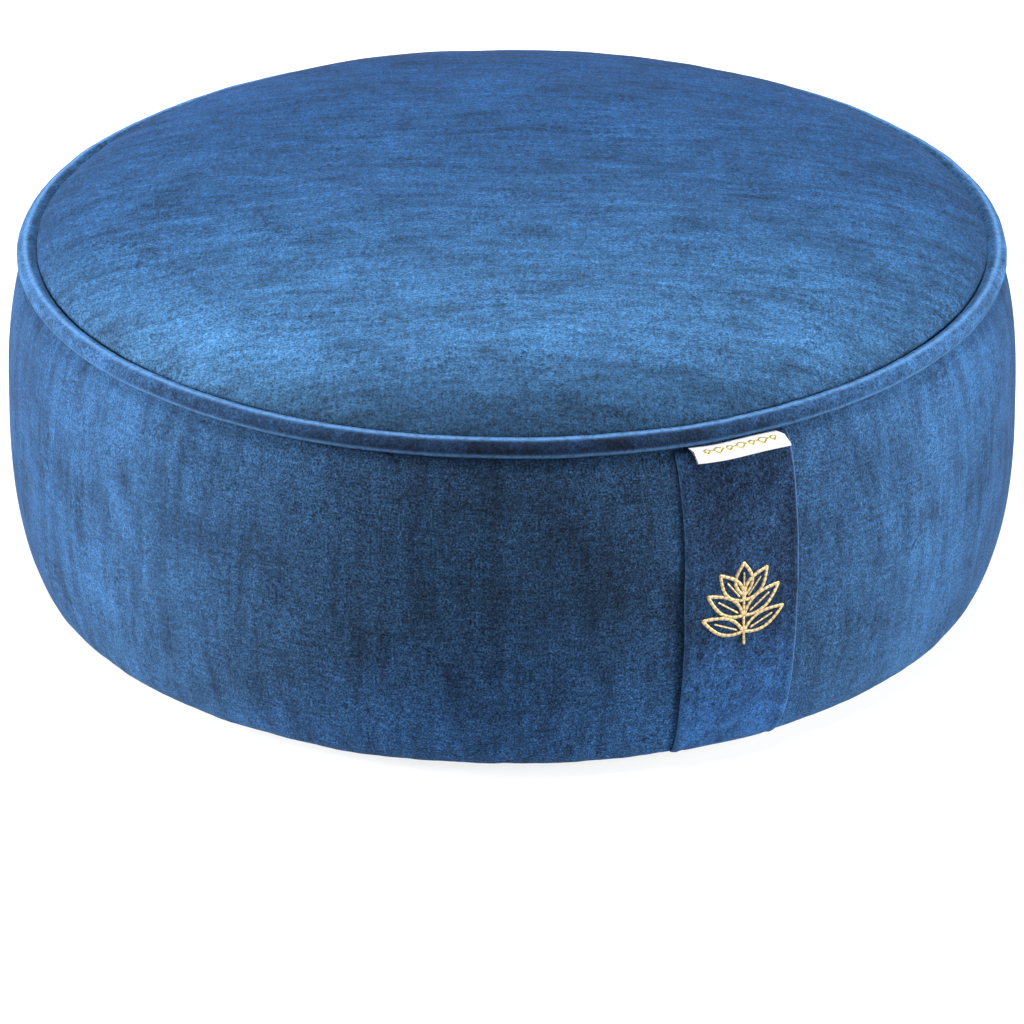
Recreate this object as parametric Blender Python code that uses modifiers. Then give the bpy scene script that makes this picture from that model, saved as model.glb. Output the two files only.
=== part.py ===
"""Round floor cushion: a buckwheat-filled zafu in a velvet cover with a piped top edge.

Frame: metres, +Z up, origin on the floor at the centre of the bottom panel. The carry handle and its
label are on the -Y side, and the cover's zip runs round the rear, centred on +Y.

A profile is a list of (radius, height) points. It travels with the cloth's outer side on its left:
outwards over the top, down the side, and inwards under the bottom.
"""

import math

import bmesh
import bpy
from mathutils import Matrix, Vector

# ---- driving dimensions ----
BELLY_RADIUS = 0.20995      # widest point of the side band
BELLY_HEIGHT = 0.0785
CROWN_HEIGHT = 0.179        # top of the domed seat
WELT_RING_RADIUS = 0.2007   # centre line of the top piping
WELT_HEIGHT = 0.1465
WELT_RADIUS = 0.0042        # outside of the velvet-covered cord
CORD_RADIUS = 0.0025
BOTTOM_SEAM_RADIUS = 0.188
BOTTOM_SEAM_HEIGHT = 0.003
FLOOR_RADIUS = 0.178        # the bottom panel lies flat on the floor this far out

VELVET = 0.0015             # cloth thickness, pile included
WELT_CLOTH = 0.0012
LINER_CLOTH = 0.0008
SEAM_ALLOWANCE = 0.0085
SEAM_SLOPE = math.radians(20)   # the top seam's layers run inwards and down at this angle
GAP = 0.0004                # between pieces that touch on the real cushion

RING_STEPS = 48
STEP_ANGLE = 360.0 / RING_STEPS

ZIP_HEIGHT = 0.052
ZIP_START, ZIP_END = 30.0, 150.0    # degrees about +Z from +X
SLIDER_REST_ANGLE = 145.0
LINER_ZIP_HEIGHT = 0.0785
LINER_ZIP_START, LINER_ZIP_END = 52.5, 127.5
LINER_SLIDER_REST_ANGLE = 122.0

HANDLE_WIDTH = 0.050
HANDLE_END_THICKNESS = 0.0026
SLEEVE_THICKNESS = 0.0030
SLEEVE_WALL = 0.0007
HANDLE_TOP = 0.1382
GRIP_TOP, GRIP_BOTTOM = 0.116, 0.038
EMBLEM_HEIGHT = 0.0745
EMBLEM_SIZE = 0.036
LABEL_WIDTH = 0.037

# ---- colours ----
NAVY_VELVET = (0.045, 0.13, 0.33)
WELT_NAVY = (0.055, 0.15, 0.36)
NATURAL_COTTON = (0.78, 0.73, 0.62)
WHITE_SATIN = (0.93, 0.92, 0.90)
GOLD_THREAD = (0.72, 0.56, 0.25)
ZIP_NAVY = (0.03, 0.07, 0.18)
NICKEL = (0.62, 0.62, 0.60)
HULL_BROWN = (0.13, 0.075, 0.045)


def clear_scene():
    for obj in list(bpy.data.objects):
        bpy.data.objects.remove(obj, do_unlink=True)


def new_collection(name):
    collection = bpy.data.collections.new(name)
    bpy.context.scene.collection.children.link(collection)
    return collection


def material(name, colour, roughness, metallic=0.0):
    found = bpy.data.materials.get(name)
    if found:
        return found
    made = bpy.data.materials.new(name)
    made.use_nodes = True
    shader = made.node_tree.nodes["Principled BSDF"]
    shader.inputs["Base Color"].default_value = (*colour, 1.0)
    shader.inputs["Roughness"].default_value = roughness
    shader.inputs["Metallic"].default_value = metallic
    return made


def add_object(name, mesh, mat=None, collection=None):
    obj = bpy.data.objects.new(name, mesh)
    (collection or CUSHION).objects.link(obj)
    if mat:
        mesh.materials.append(mat)
    return obj


def solidify(obj, thickness):
    """Cloth thickness, laid on the inner side of the surface."""
    modifier = obj.modifiers.new("thickness", "SOLIDIFY")
    modifier.thickness = thickness
    modifier.offset = -1.0
    modifier.use_even_offset = True
    modifier.use_quality_normals = True
    return modifier


def apply_modifiers(obj):
    """Turns the object's evaluated shape into its own mesh."""
    bpy.context.view_layer.update()
    graph = bpy.context.evaluated_depsgraph_get()
    obj.data = bpy.data.meshes.new_from_object(obj.evaluated_get(graph))
    obj.modifiers.clear()


def combine(obj, other, operation):
    """Boolean of obj with other, applied; other is removed."""
    modifier = obj.modifiers.new(operation.lower(), "BOOLEAN")
    modifier.operation = operation
    modifier.object = other
    apply_modifiers(obj)
    bpy.data.objects.remove(other, do_unlink=True)


# ---- turned pieces ----
def turned(name, profile, mat, start=0.0, sweep=360.0, step=STEP_ANGLE, closed=False):
    """A profile turned about Z with a Screw modifier, from start through sweep degrees."""
    mesh = bpy.data.meshes.new(name)
    edges = [(i, i + 1) for i in range(len(profile) - 1)]
    if closed:
        edges.append((len(profile) - 1, 0))
    mesh.from_pydata([(r, 0.0, z) for r, z in profile], edges, [])
    obj = add_object(name, mesh, mat)
    obj.rotation_euler.z = math.radians(start)
    screw = obj.modifiers.new("turn", "SCREW")
    screw.axis = "Z"
    screw.angle = math.radians(sweep)
    screw.steps = screw.render_steps = round(sweep / step)
    screw.use_merge_vertices = sweep == 360.0
    screw.merge_threshold = 1e-5
    screw.use_smooth_shade = True
    return obj


def turned_cloth(name, profile, thickness, mat, **turn):
    obj = turned(name, profile, mat, **turn)
    solidify(obj, thickness)
    return obj


def turned_bar(name, profile, mat, start, sweep, step):
    """A closed profile turned through part of a circle, with flat ends."""
    steps = round(sweep / step)
    shape = bmesh.new()
    sections = []
    for i in range(steps + 1):
        turn = Matrix.Rotation(math.radians(sweep * i / steps), 3, "Z")
        sections.append([shape.verts.new(turn @ Vector((r, 0.0, z))) for r, z in profile])
    for one, other in zip(sections, sections[1:]):
        for k in range(len(profile)):
            shape.faces.new((one[k - 1], one[k], other[k], other[k - 1]))
    shape.faces.new(sections[0])
    shape.faces.new(sections[-1][::-1])
    bmesh.ops.recalc_face_normals(shape, faces=shape.faces)
    mesh = bpy.data.meshes.new(name)
    shape.to_mesh(mesh)
    shape.free()
    obj = add_object(name, mesh, mat)
    obj.rotation_euler.z = math.radians(start)
    return obj


def quarter(r_near, z_near, r_far, z_far, power_z, power_r, steps):
    """Superellipse quarter from (r_far, z_far), where it is steepest, to (r_near, z_near).

    r_far is the belly and z_near the seam, so the curve leaves the belly upright and reaches
    the seam flat. Points are evenly spread in the curve's own angle.
    """
    points = []
    for i in range(steps + 1):
        angle = math.pi / 2 * i / steps
        z = z_far + (z_near - z_far) * math.sin(angle) ** (2 / power_z)
        r = r_near + (r_far - r_near) * math.cos(angle) ** (2 / power_r)
        points.append((r, z))
    return points


def inset(profile, distance):
    """The profile moved to the right of its travel, which is inwards, with mitred corners."""
    moved = []
    for i, (r, z) in enumerate(profile):
        ahead = profile[min(i + 1, len(profile) - 1)]
        behind = profile[max(i - 1, 0)]
        arriving = Vector((r - behind[0], z - behind[1]))
        leaving = Vector((ahead[0] - r, ahead[1] - z))
        arriving = arriving.normalized() if arriving.length else leaving.normalized()
        leaving = leaving.normalized() if leaving.length else arriving
        right_a = Vector((arriving.y, -arriving.x))
        right_b = Vector((leaving.y, -leaving.x))
        mitre = (right_a + right_b) / (1 + right_a.dot(right_b))
        moved.append((max(r + mitre.x * distance, 0.0), z + mitre.y * distance))
    return moved


# ---- the side's shape ----
SEAM_TOP_RADIUS, SEAM_TOP_HEIGHT = 0.1974, 0.1433


def side_upper(steps):
    return quarter(SEAM_TOP_RADIUS, SEAM_TOP_HEIGHT, BELLY_RADIUS, BELLY_HEIGHT, 2.2, 2.4, steps)


def side_lower(steps):
    return quarter(BOTTOM_SEAM_RADIUS, BOTTOM_SEAM_HEIGHT, BELLY_RADIUS, BELLY_HEIGHT, 2.2, 2.5, steps)


def side_radius(z):
    """Outer radius of the side band at height z."""
    if z >= BELLY_HEIGHT:
        rise = min((z - BELLY_HEIGHT) / (SEAM_TOP_HEIGHT - BELLY_HEIGHT), 1.0)
        near, power = SEAM_TOP_RADIUS, 2.4
    else:
        rise = min((BELLY_HEIGHT - z) / (BELLY_HEIGHT - BOTTOM_SEAM_HEIGHT), 1.0)
        near, power = BOTTOM_SEAM_RADIUS, 2.5
    return near + (BELLY_RADIUS - near) * (1 - rise ** 2.2) ** (1 / power)


def from_welt(outwards, upwards):
    """A point near the top piping: outwards runs along the seam's layers, upwards across them."""
    c, s = math.cos(SEAM_SLOPE), math.sin(SEAM_SLOPE)
    return (WELT_RING_RADIUS + outwards * c - upwards * s, WELT_HEIGHT + outwards * s + upwards * c)


WELT_LAYERS = WELT_CLOTH + 0.00015      # half the thickness of the piping's two-layer flange
TOP_FOLD = from_welt(-0.0043, WELT_LAYERS + 0.0005)
BAND_FOLD = (0.1976, 0.1426)


def inwards(point, length):
    """The point moved along the top seam's layers, towards the axis."""
    return (point[0] - length * math.cos(SEAM_SLOPE), point[1] - length * math.sin(SEAM_SLOPE))


# ---- cover ----
CROWN_RADIUS, CROWN_BASE = 0.1969, WELT_HEIGHT + 0.0027


def crown(steps):
    """The seat's dome, from the centre to the groove beside the piping."""
    points = []
    for i in range(steps + 1):
        angle = math.pi / 2 * i / steps
        r = CROWN_RADIUS * math.sin(angle) ** (2 / 2.7)
        z = CROWN_BASE + (CROWN_HEIGHT - CROWN_BASE) * math.cos(angle) ** (2 / 1.6)
        points.append((r, z))
    return points


def top_panel(mat):
    profile = crown(6) + [TOP_FOLD, inwards(TOP_FOLD, SEAM_ALLOWANCE - 0.0007)]
    return turned_cloth("top_panel", profile, VELVET, mat)


BAND_TOP_EDGE = [inwards(BAND_FOLD, SEAM_ALLOWANCE), BAND_FOLD]
BAND_BOTTOM_EDGE = [(BOTTOM_SEAM_RADIUS + GAP / 2, BOTTOM_SEAM_HEIGHT),
                    (BOTTOM_SEAM_RADIUS + GAP / 2, BOTTOM_SEAM_HEIGHT + SEAM_ALLOWANCE)]
HIDDEN_BY_WELT = 0.1402     # the side's curve stops here and runs straight into the seam


def upper_side_profile(lowest, steps=5):
    """The side's outer face from the top seam down to the height lowest, which is above the belly."""
    curve = [p for p in side_upper(steps)[::-1] if lowest < p[1] < HIDDEN_BY_WELT]
    top = (side_radius(HIDDEN_BY_WELT), HIDDEN_BY_WELT)
    return BAND_TOP_EDGE + [top] + curve


def lower_side_profile(highest, steps=5):
    """The side's outer face from the height highest, at or below the belly, to the bottom seam."""
    return [p for p in side_lower(steps)[:-1] if p[1] < highest] + BAND_BOTTOM_EDGE


SEAM_SLACK = 0.1            # degrees left free at each end of the rear strips


def front_band(mat):
    profile = upper_side_profile(BELLY_HEIGHT) + lower_side_profile(BELLY_HEIGHT + 1e-4)
    sweep = 360.0 - (ZIP_END - ZIP_START)
    return turned_cloth("front_band", profile, VELVET, mat, start=ZIP_END, sweep=sweep)


ZIP_MOUTH = 0.0110          # height of the slot between the two rear strips


def rear_bands(mat):
    over, under = ZIP_HEIGHT + ZIP_MOUTH / 2, ZIP_HEIGHT - ZIP_MOUTH / 2
    upper = upper_side_profile(BELLY_HEIGHT) + [(BELLY_RADIUS, BELLY_HEIGHT), (side_radius(over), over)]
    lower = [(side_radius(under), under)] + lower_side_profile(under - 0.002)
    turn = {"start": ZIP_START + SEAM_SLACK, "sweep": ZIP_END - ZIP_START - 2 * SEAM_SLACK}
    turned_cloth("rear_band_upper", upper, VELVET, mat, **turn)
    turned_cloth("rear_band_lower", lower, VELVET, mat, **turn)


def bottom_panel(mat):
    edge = BOTTOM_SEAM_RADIUS - GAP / 2
    profile = [(edge, BOTTOM_SEAM_HEIGHT + SEAM_ALLOWANCE), (edge, BOTTOM_SEAM_HEIGHT - 0.0004),
               (FLOOR_RADIUS + 0.006, 0.0009), (FLOOR_RADIUS, 0.0), (0.0, 0.0)]
    return turned_cloth("bottom_panel", profile, VELVET, mat)


def welt_cover(mat):
    """One bias strip: in from the seam, round the cord and back into the seam."""
    neck = math.asin(WELT_LAYERS / WELT_RADIUS)
    first, last = math.pi - neck, -math.pi + neck
    bends = 8
    arc = [first + (last - first) * i / bends for i in range(bends + 1)]
    ring = [from_welt(WELT_RADIUS * math.cos(a), WELT_RADIUS * math.sin(a)) for a in arc]
    reach = WELT_RADIUS * math.cos(neck) + SEAM_ALLOWANCE - 0.0004
    profile = [from_welt(-reach, WELT_LAYERS)] + ring + [from_welt(-reach, -WELT_LAYERS)]
    return turned_cloth("piping_cover", profile, WELT_CLOTH, mat)


def welt_cord(mat):
    sides = 6
    ring = [(WELT_RING_RADIUS + CORD_RADIUS * math.cos(2 * math.pi * i / sides),
             WELT_HEIGHT - CORD_RADIUS * math.sin(2 * math.pi * i / sides)) for i in range(sides)]
    return turned("piping_cord", ring, mat, closed=True)


# ---- liner and fill ----
LINER_BELLY = 0.2022
LINER_SHOULDER = (0.1872, 0.1370)
LINER_FOOT_TOP = BOTTOM_SEAM_HEIGHT + SEAM_ALLOWANCE + GAP


def liner_side(steps=4):
    """The liner's outer face, from its shoulder seam to its foot seam."""
    upper = quarter(*LINER_SHOULDER, LINER_BELLY, BELLY_HEIGHT, 2.2, 2.4, steps)[::-1]
    foot = (BOTTOM_SEAM_RADIUS + 0.0032, LINER_FOOT_TOP)
    lower = quarter(*foot, LINER_BELLY, BELLY_HEIGHT, 2.2, 2.5, steps - 1)[1:]
    return upper + lower + [(BOTTOM_SEAM_RADIUS - 0.0004, LINER_FOOT_TOP)]


def liner_top():
    """The liner's outer face over the top: under the dome, then down inside the seam's layers."""
    wall = 0.1866
    dome = [p for p in inset(crown(5), VELVET + 2 * GAP) if p[0] < wall - 0.004]
    return dome + [(wall, CROWN_BASE + 0.0045), (wall, LINER_SHOULDER[1] + GAP + 0.0002)]


def liner_bottom():
    """The liner's outer face underneath, with its edge turned up inside the cover's bottom seam."""
    edge = BOTTOM_SEAM_RADIUS - VELVET - 2 * GAP - 0.0002
    floor = VELVET + GAP
    return [(edge, LINER_FOOT_TOP - 0.0002), (edge, BOTTOM_SEAM_HEIGHT + VELVET + 0.0002),
            (FLOOR_RADIUS - 0.001, floor), (0.0, floor)]


def liner(mat):
    turned_cloth("liner_top_panel", liner_top(), LINER_CLOTH, mat)
    turned_cloth("liner_bottom_panel", liner_bottom(), LINER_CLOTH, mat)
    band = turned_cloth("liner_band", liner_side(), LINER_CLOTH, mat)
    slot_half = LINER_ZIP.mouth / 2
    low, high = LINER_ZIP_HEIGHT - slot_half, LINER_ZIP_HEIGHT + slot_half
    ring = [(LINER_BELLY - 0.02, low), (LINER_BELLY + 0.02, low),
            (LINER_BELLY + 0.02, high), (LINER_BELLY - 0.02, high)]
    cutter = turned_bar("liner_zip_slot", ring, None, LINER_ZIP_START, LINER_ZIP_END - LINER_ZIP_START, 7.5)
    move_to_helpers(cutter)
    cut = band.modifiers.new("zip slot", "BOOLEAN")
    cut.operation = "DIFFERENCE"
    cut.object = cutter


def move_to_helpers(obj):
    for collection in list(obj.users_collection):
        collection.objects.unlink(obj)
    HELPERS.objects.link(obj)
    obj.hide_render = True
    obj.display_type = "WIRE"


def hull_fill(mat):
    """The loose hulls, as the one body they press into inside the liner."""
    depth = LINER_CLOTH + GAP
    top = inset(liner_top(), depth)[:-1]
    side = inset(liner_side(), depth + 0.0036)[1:-1]    # room for the back of the liner's zip slider
    bottom = inset(liner_bottom(), depth)[1:]
    shoulder = (top[-1][0], side[0][1])
    profile = top + [shoulder] + side + [(bottom[0][0], side[-1][1])] + bottom
    return turned("buckwheat_fill", profile, mat)


# ---- zips ----
class ZipShape:
    """Sizes of one coil zip, with face the radius of the tape's outer face at the zip's height."""

    def __init__(self, scale, height, start, end, face):
        self.height, self.start, self.end, self.face = height, start, end, face
        self.mouth = 0.0110 * scale
        self.tape_width = 0.0130 * scale
        self.tape_thickness = 0.0006
        self.coil_width = 0.0025 * scale
        self.coil_thickness = 0.0021 * scale
        self.coil_gap = 0.0014
        self.plate = 0.0013 * scale
        self.half_length = 0.0065 * scale
        self.half_width = 0.0046 * scale
        self.scale = scale

    @property
    def coil_base(self):
        return self.face + 0.0007

    @property
    def coil_top(self):
        return self.coil_base + self.coil_thickness

    @property
    def plate_base(self):
        return self.coil_top + 0.0005


COVER_ZIP = ZipShape(1.0, ZIP_HEIGHT, ZIP_START, ZIP_END, side_radius(ZIP_HEIGHT) - VELVET - 0.0013)
LINER_ZIP = ZipShape(0.7, LINER_ZIP_HEIGHT, LINER_ZIP_START, LINER_ZIP_END, 0.2002)
ZIP_STEP = 4.0


def zip_tapes(prefix, shape, lean, mat):
    """Two tapes either side of the coils. lean is how much the radius grows per metre of height."""
    for name, sign in (("upper", 1), ("lower", -1)):
        near = sign * shape.coil_gap / 2
        far = near + sign * shape.tape_width
        outer = [(shape.face + lean * z, shape.height + z) for z in (near, far)]
        inner = [(r - shape.tape_thickness, z) for r, z in outer[::-1]]
        sweep = shape.end - shape.start + 2.0
        turned_bar(f"{prefix}tape_{name}", outer + inner, mat, shape.start - 1.0, sweep, ZIP_STEP)


def zip_coils(prefix, shape, mat):
    for name, sign in (("upper", 1), ("lower", -1)):
        near = shape.height + sign * shape.coil_gap / 2
        far = near + sign * shape.coil_width
        chamfer = 0.25 * shape.coil_thickness
        section = [(shape.coil_base, near), (shape.coil_base, far), (shape.coil_top - chamfer, far),
                   (shape.coil_top, far - sign * chamfer), (shape.coil_top, near + sign * chamfer),
                   (shape.coil_top - chamfer, near)]
        sweep = shape.end - shape.start - 3.0
        turned_bar(f"{prefix}coil_{name}", section, mat, shape.start + 1.5, sweep, ZIP_STEP)


def box(name, low, high, mat=None):
    mesh = bpy.data.meshes.new(name)
    shape = bmesh.new()
    bmesh.ops.create_cube(shape, size=1.0)
    size = Vector(high) - Vector(low)
    bmesh.ops.scale(shape, vec=size, verts=shape.verts)
    bmesh.ops.translate(shape, vec=(Vector(high) + Vector(low)) / 2, verts=shape.verts)
    shape.to_mesh(mesh)
    shape.free()
    return add_object(name, mesh, mat)


def axis_empty(name, angle):
    """An empty on the cushion's axis, turned so that its +X points at the given angle."""
    empty = bpy.data.objects.new(name, None)
    CUSHION.objects.link(empty)
    empty.rotation_euler.z = math.radians(angle)
    return empty


def zip_stops(prefix, shape, mat):
    """A metal block clamped over both coils at each end of the zip."""
    half_height = shape.coil_gap / 2 + shape.coil_width
    for name, angle in (("start", shape.start + 0.9), ("end", shape.end - 0.9)):
        stop = box(f"{prefix}{name}_stop", (shape.coil_base, -0.0012 * shape.scale, shape.height - half_height),
                   (shape.coil_top, 0.0012 * shape.scale, shape.height + half_height), mat)
        stop.parent = axis_empty(f"{prefix}{name}_stop_axis", angle)


def slider_body(name, shape, carrier, mat):
    """Two plates joined by a thin post between the coils, with a crown over the pull's crossbar.

    It is drawn at the empty's +X: X is outwards, Y along the zip and Z up.
    """
    base, top = shape.plate_base, shape.plate_base + shape.plate
    back = shape.face - shape.tape_thickness - 0.0012 * shape.scale
    length, width, k = shape.half_length, shape.half_width, shape.scale
    body = box(name, (base, -length, -width), (top, length, width), mat)
    rims = [box(f"{name}_rim", (shape.face + 0.0010, -length, side - 0.0004 * k),
                (base + 0.0005, length, side + 0.0004 * k)) for side in (-width + 0.0004 * k, width - 0.0004 * k)]
    pieces = rims + [
        box(f"{name}_back", (back - shape.plate, -length, -width), (back, length, width)),
        box(f"{name}_post", (back - shape.plate / 2, 0.0030 * k, -0.00035), (base + shape.plate / 2, 0.0060 * k, 0.00035)),
        box(f"{name}_crown", (base + shape.plate / 2, -0.0048 * k, -0.0011 * k),
            (top + 0.0032 * k, 0.0017 * k, 0.0011 * k)),
    ]
    for piece in pieces:
        combine(body, piece, "UNION")
    tunnel = box(f"{name}_tunnel", (top + 0.0001 * k, -0.0035 * k, -0.002), (top + 0.0021 * k, 0.0005 * k, 0.002))
    combine(body, tunnel, "DIFFERENCE")
    body.data.transform(Matrix.Translation((0, 0, shape.height)))
    body.parent = carrier
    return body


def pull_tab(name, shape, carrier, length, mat):
    """A flat tab whose end bar passes under the slider's crown. Its origin is on that bar's axis."""
    k = shape.scale
    thickness = 0.0012 * k
    pivot = Vector((shape.plate_base + shape.plate + 0.0011 * k, -0.0015 * k, shape.height))
    outline = bpy.data.curves.new(name, "CURVE")
    outline.dimensions = "2D"
    outline.fill_mode = "BOTH"
    outline.extrude = thickness / 2
    near, waist, wide = 0.00065 * k, 0.0033 * k, 0.0036 * k
    outer = [(near, -waist), (near, waist), (-0.010 * k, waist), (-length + 0.002, wide),
             (-length, wide - 0.0015), (-length, -wide + 0.0015), (-length + 0.002, -wide), (-0.010 * k, -waist)]
    slot = [(-near, -0.0017 * k), (-near, 0.0017 * k), (-0.0055 * k, 0.0017 * k), (-0.0055 * k, -0.0017 * k)]
    grip = [(-length + 0.0035, -0.0016 * k), (-length + 0.0035, 0.0016 * k), (-length + 0.0075, 0.0016 * k),
            (-length + 0.0075, -0.0016 * k)]
    for points in (outer, slot, grip):
        spline = outline.splines.new("POLY")
        spline.points.add(len(points) - 1)
        for point, (along, up) in zip(spline.points, points):
            point.co = (along, up, 0.0, 1.0)
        spline.use_cyclic_u = True
    drawn = bpy.data.objects.new(name + "_outline", outline)
    CUSHION.objects.link(drawn)
    bpy.context.view_layer.update()
    mesh = bpy.data.meshes.new_from_object(drawn.evaluated_get(bpy.context.evaluated_depsgraph_get()))
    bpy.data.objects.remove(drawn, do_unlink=True)
    shape_edit = bmesh.new()
    shape_edit.from_mesh(mesh)
    bmesh.ops.remove_doubles(shape_edit, verts=shape_edit.verts, dist=1e-6)
    bmesh.ops.recalc_face_normals(shape_edit, faces=shape_edit.faces)
    shape_edit.to_mesh(mesh)
    shape_edit.free()
    # the outline's X runs along the zip, its Y up and its thickness outwards
    mesh.transform(Matrix(((0, 0, 1, 0), (1, 0, 0, 0), (0, 1, 0, 0), (0, 0, 0, 1))))
    tab = add_object(name, mesh, mat)
    tab.location = pivot
    tab.parent = carrier
    return tab


def zips(tape_navy, tape_cream, coil_navy, coil_cream, metal):
    lean = (side_radius(ZIP_HEIGHT + 0.008) - side_radius(ZIP_HEIGHT - 0.008)) / 0.016
    zip_tapes("zip_", COVER_ZIP, lean, tape_navy)
    zip_coils("zip_", COVER_ZIP, coil_navy)
    zip_stops("zip_", COVER_ZIP, metal)
    carrier = axis_empty("zip_slider_axis", SLIDER_REST_ANGLE)
    slider_body("zip_slider", COVER_ZIP, carrier, metal)
    pull_tab("zip_pull", COVER_ZIP, carrier, 0.027, metal)
    zip_tapes("liner_zip_", LINER_ZIP, 0.0, tape_cream)
    zip_coils("liner_zip_", LINER_ZIP, coil_cream)
    inner_carrier = axis_empty("liner_zip_slider_axis", LINER_SLIDER_REST_ANGLE)
    slider_body("liner_zip_slider", LINER_ZIP, inner_carrier, metal)


# ---- handle ----
def on_side(across, clearance, z):
    """A point on the front of the cushion: across the band from -Y, at its height z, clearance off it."""
    step = 0.0005
    lean = (side_radius(z + step) - side_radius(z - step)) / (2 * step)
    outwards = Vector((1.0, -lean)).normalized() * clearance
    radius = side_radius(z) + outwards.x
    angle = -math.pi / 2 + across / BELLY_RADIUS
    return Vector((radius * math.cos(angle), radius * math.sin(angle), z + outwards.y))


def grid_mesh(name, columns, rows, place, mat):
    """A grid of faces whose corner (i, j) is put at place(i / columns, j / rows)."""
    mesh = bpy.data.meshes.new(name)
    shape = bmesh.new()
    bmesh.ops.create_grid(shape, x_segments=columns, y_segments=rows, size=0.5)
    for vert in shape.verts:
        vert.co = place(vert.co.x + 0.5, vert.co.y + 0.5)
    shape.to_mesh(mesh)
    shape.free()
    return add_object(name, mesh, mat)


def stand_off(z):
    """How far the handle's outer face stands off the band: least at its sewn ends."""
    ends = 0.0034
    middle = 0.0042
    low, high = 0.006, HANDLE_TOP
    share = math.sin(math.pi * min(max((z - low) / (high - low), 0.0), 1.0))
    return ends + (middle - ends) * share ** 0.6


def strap_piece(name, low, high, rows, thickness, mat, depth=0.0, width=HANDLE_WIDTH):
    """Part of the strap between two heights, its outer face depth metres below the handle's."""
    def place(u, v):
        z = low + (high - low) * v ** (1.7 if low < GRIP_BOTTOM / 2 else 1.0)
        return on_side((u - 0.5) * width, stand_off(z) - depth, z)
    strip = grid_mesh(name, 6, rows, place, mat)
    solidify(strip, thickness)
    return strip


def handle_sleeve(mat):
    """The grip's velvet tube, open at both ends: a flat loop of cloth round the webbing."""
    half, edge = HANDLE_WIDTH / 2, SLEEVE_THICKNESS / 2
    columns = 5
    outer = [(-half + edge + (HANDLE_WIDTH - 2 * edge) * i / columns, 0.0) for i in range(columns + 1)]
    loop = outer + [(half, edge)] + [(x, SLEEVE_THICKNESS) for x, _ in outer[::-1]] + [(-half, edge)]
    rows = 6

    def place(u, v):
        x, depth = loop[round(u * len(loop)) % len(loop)]
        z = GRIP_BOTTOM + (GRIP_TOP - GRIP_BOTTOM) * v
        return on_side(x, stand_off(z) - depth, z)

    tube = grid_mesh("handle_sleeve", len(loop), rows, place, mat)
    shape = bmesh.new()
    shape.from_mesh(tube.data)
    bmesh.ops.remove_doubles(shape, verts=shape.verts, dist=1e-6)
    bmesh.ops.recalc_face_normals(shape, faces=shape.faces)
    shape.to_mesh(tube.data)
    shape.free()
    solidify(tube, SLEEVE_WALL)
    return tube


def handle(velvet, webbing):
    strap_piece("handle_upper_end", GRIP_TOP + GAP, HANDLE_TOP, 4, HANDLE_END_THICKNESS, velvet)
    strap_piece("handle_lower_end", 0.0060, GRIP_BOTTOM - GAP, 6, HANDLE_END_THICKNESS, velvet)
    handle_sleeve(velvet)
    inside = SLEEVE_WALL + 0.00035
    core_thickness = SLEEVE_THICKNESS - 2 * inside
    strap_piece("handle_webbing", GRIP_BOTTOM + GAP, GRIP_TOP - GAP, 6, core_thickness, webbing,
                depth=inside, width=HANDLE_WIDTH - 2 * SLEEVE_WALL - 0.002)


def leaf(length, width):
    """A pointed oval outline from the origin along +Y."""
    side = 5
    right = [(width / 2 * math.sin(math.pi * i / side), length * i / side) for i in range(1, side)]
    return [(0.0, 0.0)] + right + [(0.0, length)] + [(-x, y) for x, y in right[::-1]]


def flat_plate(name, points, thickness, mat=None):
    mesh = bpy.data.meshes.new(name)
    shape = bmesh.new()
    face = shape.faces.new([shape.verts.new((x, y, 0.0)) for x, y in points])
    grown = bmesh.ops.extrude_face_region(shape, geom=[face])["geom"]
    verts = [g for g in grown if isinstance(g, bmesh.types.BMVert)]
    bmesh.ops.translate(shape, vec=(0, 0, thickness), verts=verts)
    bmesh.ops.recalc_face_normals(shape, faces=shape.faces)
    shape.to_mesh(mesh)
    shape.free()
    return add_object(name, mesh, mat)


def emblem(mat):
    """A sprig of leaves in raised thread, laid on the handle's outer face."""
    thickness = 0.0006
    half = EMBLEM_SIZE / 2
    stem_half = 0.0006
    stem_points = [(-stem_half, -half), (stem_half, -half), (stem_half, half * 0.35), (-stem_half, half * 0.35)]
    sprig = flat_plate("handle_emblem", stem_points, thickness, mat)
    leaves = [(half * 0.20, 0.0, 0.0145)]
    for height, lean, length in ((-0.66, 64.0, 0.0182), (-0.27, 54.0, 0.0182), (0.12, 38.0, 0.0155)):
        leaves += [(half * height, side * lean, length) for side in (-1, 1)]
    for base, lean, length in leaves:
        blade = flat_plate("leaf", leaf(length, 0.0058), thickness)
        blade.data.transform(Matrix.Translation((0, base, 0)) @ Matrix.Rotation(math.radians(-lean), 4, "Z"))
        combine(sprig, blade, "UNION")
    for vert in sprig.data.vertices:
        x, y, depth = vert.co
        z = EMBLEM_HEIGHT + y
        vert.co = on_side(x, stand_off(z) + 0.0004 + depth, z)
    shape = bmesh.new()
    shape.from_mesh(sprig.data)
    bmesh.ops.recalc_face_normals(shape, faces=shape.faces)
    shape.to_mesh(sprig.data)
    shape.free()
    return sprig


LABEL_LINE = [(0.2036, 0.1422), (0.2100, 0.1418), (0.2154, 0.1394)]    # radius and height, root to tip


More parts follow.
